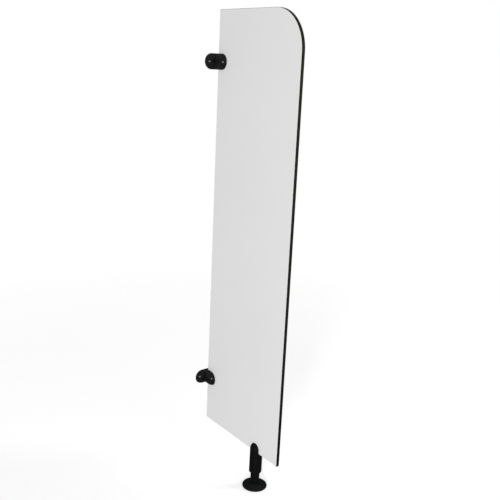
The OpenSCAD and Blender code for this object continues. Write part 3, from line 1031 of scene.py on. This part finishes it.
@dataclass
class FloorFoot(Assembly):
    """The foot that is screwed to the floor: pad, plate, washer, ring and the rosette over them."""

    pad: float = 1.5
    grips: tuple[float, ...] = (8.0, 12.0, 16.0, 27.0)
    grip: Pair = (1.4, 0.4)
    plate: float = 3.0
    plate_radius: float = 30.0
    spigot: float = 10.42
    spigot_bore: float = 7.42
    spigot_height: float = 22.0
    circle: float = 22.0
    hole: float = 5.0
    holes: int = 3
    sunk: float = 1.6
    ring: Pair = (15.5, 16.7)
    ring_seat: float = 9.22
    ring_reach: float = 11.7
    ring_gap: float = 2.4
    washer: Pair = (10.5, 15.0)
    washer_height: float = 1.0
    play: float = 0.04
    edge: float = 0.2
    toe: float = 0.3
    shoulder: float = 0.6
    rosette: float = 41.0
    rim: float = 4.0
    rise: float = 13.0
    wall: float = 2.0
    mouth: float = 15.4

    def drill(self, shape: Shape, low: float, high: float, sunk: float) -> None:
        """Drill the floor screw holes.

        Args:
            shape: The piece.
            low: Height below its underside.
            high: Height of its top.
            sunk: Depth of the countersink in its top.
        """
        r = self.hole / 2.0
        section = [(0.0, low), (r, low), (r, high - sunk), (r + sunk, high), (r + sunk, high + PAST)]
        for i in range(self.holes):
            cutter = Bench.turn([*section, (0.0, high + PAST)], 40)
            spin = Matrix.Rotation(2.0 * math.pi * i / self.holes, 4, "Z")
            place = spin @ Matrix.Translation((self.circle, 0.0, 0.0))
            Bench.combine(shape, Bench.settle(cutter, place))

    def rubber(self) -> None:
        """Make the pad, with grip rings moulded in its underside."""
        r, top = self.plate_radius, self.pad
        width, depth = self.grip
        section = [(0.0, 0.0)]
        for low in self.grips:
            high = low + width
            section += [(low, 0.0), (low + depth, depth), (high - depth, depth), (high, 0.0)]
        section += [(r - self.toe, 0.0), (r, self.toe), (r, top - self.edge), (r - self.edge, top)]
        shape = Bench.turn([*section, (0.0, top)])
        self.drill(shape, -PAST, top, 0.0)
        self.hand_over(shape, "floor_pad", "pad_rubber", Body.FOOT)

    def base(self) -> None:
        """Make the plate with its hollow spigot, the ring's seat and sunk screw holes."""
        low, top = self.pad, self.pad + self.plate
        head, crown = top + self.spigot_height, 0.8
        toe, shoulder = self.toe, self.shoulder
        ring_low, ring_high = self.ring
        wide, spigot, bore, seat = self.plate_radius, self.spigot, self.spigot_bore, self.ring_seat
        section = [(0.0, low), (wide - toe, low), (wide, low + toe), (wide, top - shoulder)]
        section += [(wide - shoulder, top), (spigot, top), (spigot, ring_low), (seat, ring_low)]
        section += [(seat, ring_high), (spigot, ring_high), (spigot, head - crown), (spigot - crown, head)]
        section += [(bore + toe, head), (bore, head - toe), (bore, top), (0.0, top)]
        shape = Bench.turn(section)
        self.drill(shape, low - PAST, top, self.sunk)
        self.hand_over(shape, "foot_plate", "plate_zinc", Body.FOOT)

    def thrust(self) -> None:
        """Make the washer under the sleeve."""
        low = self.pad + self.plate
        inner, outer = self.washer
        face, edge = low + self.washer_height - self.play, self.edge
        section = [(inner, low), (outer - edge, low), (outer, low + edge), (outer, face - edge)]
        shape = Bench.turn([*section, (outer - edge, face), (inner, face)])
        self.hand_over(shape, "thrust_washer", "fixing_steel", Body.FOOT)

    def split_ring(self) -> None:
        """Make the split ring that keeps the sleeve down."""
        low, high = self.ring
        seat, reach, edge = self.ring_seat, self.ring_reach, self.edge
        section = [(seat, low), (reach - edge, low), (reach, low + edge), (reach, high - edge)]
        shape = Bench.turn([*section, (reach - edge, high), (seat, high)])
        half = self.ring_gap / 2.0
        gap = Bench.block((seat - PAST, -half, low - PAST), (reach + PAST, half, high + PAST))
        Bench.combine(shape, gap)
        Bench.soften(shape, 0.1)
        self.hand_over(shape, "retaining_ring", "fixing_steel", Body.FOOT)

    def cover(self) -> None:
        """Make the rosette: a thin dome with a rounded rim and a beaded mouth."""
        drop = self.rise - self.rim
        sphere_z = (self.mouth**2 + self.rise**2 - self.rosette**2 - self.rim**2) / (2.0 * drop)
        sphere = math.hypot(self.rosette, self.rim - sphere_z)
        rim_turn = math.degrees(math.asin((self.rim - sphere_z) / sphere))
        mouth_turn = math.degrees(math.acos(self.mouth / sphere))
        rim_round, bead = 0.9, 0.35
        dome = Bench.arc((0.0, sphere_z), sphere, rim_turn + rim_round, mouth_turn - bead, 24)
        inner, foot = sphere - self.wall, self.rosette - self.wall
        low_turn = math.degrees(math.acos(foot / inner))
        high_turn = math.degrees(math.acos(self.mouth / inner))
        under = Bench.arc((0.0, sphere_z), inner, high_turn, low_turn, 20)
        bead_z = sphere_z + math.sqrt(sphere**2 - self.mouth**2) - bead
        outer, toe = self.rosette, 0.5
        section = [(outer - toe, 0.0), (outer, toe), (outer, self.rim - rim_round)]
        section += [(outer - 0.25, self.rim - 0.2), *dome, (self.mouth, bead_z), *under]
        shape = Bench.turn([*section, (foot, self.toe), (foot + self.toe, 0.0)], 128)
        self.hand_over(shape, "rosette", "rosette_nylon", Body.ROSETTE)

    def build(self) -> None:
        """Build the foot."""
        self.rubber()
        self.base()
        self.thrust()
        self.split_ring()
        self.cover()


@dataclass(frozen=True)
class Lamp:
    """A square soft lamp, in metres and watts."""

    name: str
    place: Place
    target: Place
    side: float
    power: float

    def hang(self) -> None:
        """Add the lamp to the scene."""
        data = bpy.data.lights.new(self.name, "AREA")
        data.size = self.side
        data.energy = self.power
        lamp = bpy.data.objects.new(self.name, data)
        bpy.context.scene.collection.objects.link(lamp)
        lamp.location = self.place
        beam = Vector(self.target) - Vector(self.place)
        lamp.rotation_euler = beam.to_track_quat("-Z", "Y").to_euler()


@dataclass
class Studio:
    """The pale floor, the soft lights and the camera."""

    focal: float = 718.2
    pixels: int = 500
    yaw: float = -0.910602
    pitch: float = 0.257713
    roll: float = -0.047710
    eye: Place = (1.65371, -1.35033, 1.37801)
    ambient: float = 0.40
    floor_radius: float = 9.0
    floor_tone: float = 0.90
    floor_lift: float = 0.44
    floor_fade: Pair = (1.0, 2.6)
    lamps: tuple[Lamp, ...] = (
        Lamp("key", (4.3, -4.85, 1.2), (-0.1, 0.0, 0.8), 0.70, 312.0),
        Lamp("back", (2.6, 5.2, 1.8), (0.0, 0.0, 0.8), 2.0, 160.0),
    )

    def camera(self) -> None:
        """Set up the camera at the photograph's viewing angle."""
        data = bpy.data.cameras.new("camera")
        data.sensor_width = 36.0
        data.lens = self.focal * data.sensor_width / self.pixels
        data.clip_end = 50.0
        camera = bpy.data.objects.new("camera", data)
        bpy.context.scene.collection.objects.link(camera)
        level = Vector((math.cos(self.yaw), -math.sin(self.yaw), 0.0))
        ahead = Vector((math.sin(self.yaw), math.cos(self.yaw), 0.0))
        forward = math.cos(self.pitch) * ahead - Vector((0.0, 0.0, math.sin(self.pitch)))
        down = forward.cross(level)
        right = math.cos(self.roll) * level + math.sin(self.roll) * down
        down = math.cos(self.roll) * down - math.sin(self.roll) * level
        turn = Matrix((right, -down, -forward)).transposed()
        camera.matrix_world = Matrix.Translation(self.eye) @ turn.to_4x4()
        bpy.context.scene.camera = camera

    def world(self) -> None:
        """Light the scene evenly, and show white where a ray leaves it."""
        world = bpy.data.worlds.new("studio")
        bpy.context.scene.world = world
        world.use_nodes = True
        graph = Graph(world.node_tree)
        path = graph.add("LightPath")
        seen = path.outputs["Is Camera Ray"]
        for ray in ("Is Glossy Ray", "Is Transmission Ray"):
            either = graph.add("Math", seen, path.outputs[ray])
            either.operation = "MAXIMUM"
            seen = either.outputs["Value"]
        strength = graph.add("MapRange", Value=seen, To_Min=self.ambient, To_Max=1.0)
        fill = graph.add("Background", Color=WHITE, Strength=strength.outputs["Result"])
        graph.add("OutputWorld", Surface=fill.outputs["Background"])

    def floor(self) -> None:
        """Lay a pale floor that fades into the white behind it."""
        Bench.pick()
        bpy.ops.mesh.primitive_circle_add(vertices=96, radius=self.floor_radius, fill_type="NGON")
        floor = bpy.context.object
        floor.name = "floor"
        shader = Shader("pale_floor")
        seen = shader.add("LightPath").outputs["Is Camera Ray"]
        shader.dress(
            Base_Color=(self.floor_tone,) * 3,
            Roughness=1.0,
            Specular_IOR_Level=0.0,
            Emission_Color=WHITE,
            Emission_Strength=shader.rise(seen, 0.0, 1.0, 0.0, self.floor_lift),
        )
        reach = shader.add("VectorMath", shader.place)
        reach.operation = "LENGTH"
        fade = shader.rise(reach.outputs["Value"], *self.floor_fade)
        clear = shader.add("BsdfTransparent").outputs["BSDF"]
        mix = shader.add("MixShader", fade, shader.surface.outputs["BSDF"], clear)
        shader.feed(shader.output, Surface=mix.outputs["Shader"])
        floor.data.materials.append(shader.material)
        # The foot is screwed to the floor, so the floor keeps under it when the height is set.
        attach(floor, Body.FOOT.value)

    def build(self) -> None:
        """Build the whole studio."""
        self.camera()
        self.world()
        self.floor()
        for lamp in self.lamps:
            lamp.hang()
        bpy.context.scene.view_settings.view_transform = "Standard"


def main() -> None:
    """Build and dress every sub-assembly, then the studio round them."""
    logging.basicConfig(level=logging.INFO, format="%(message)s")
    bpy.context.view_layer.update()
    finishes = Finishes()
    panel = Panel(finishes)
    wall_brackets, leg = WallBrackets(finishes, panel), SlottedLeg(finishes, panel)
    for part in (panel, wall_brackets, leg, Adjuster(finishes), FloorFoot(finishes)):
        part.build()
        log.info("built %s", type(part).__name__)
    Studio().build()


if __name__ == "__main__":
    main()
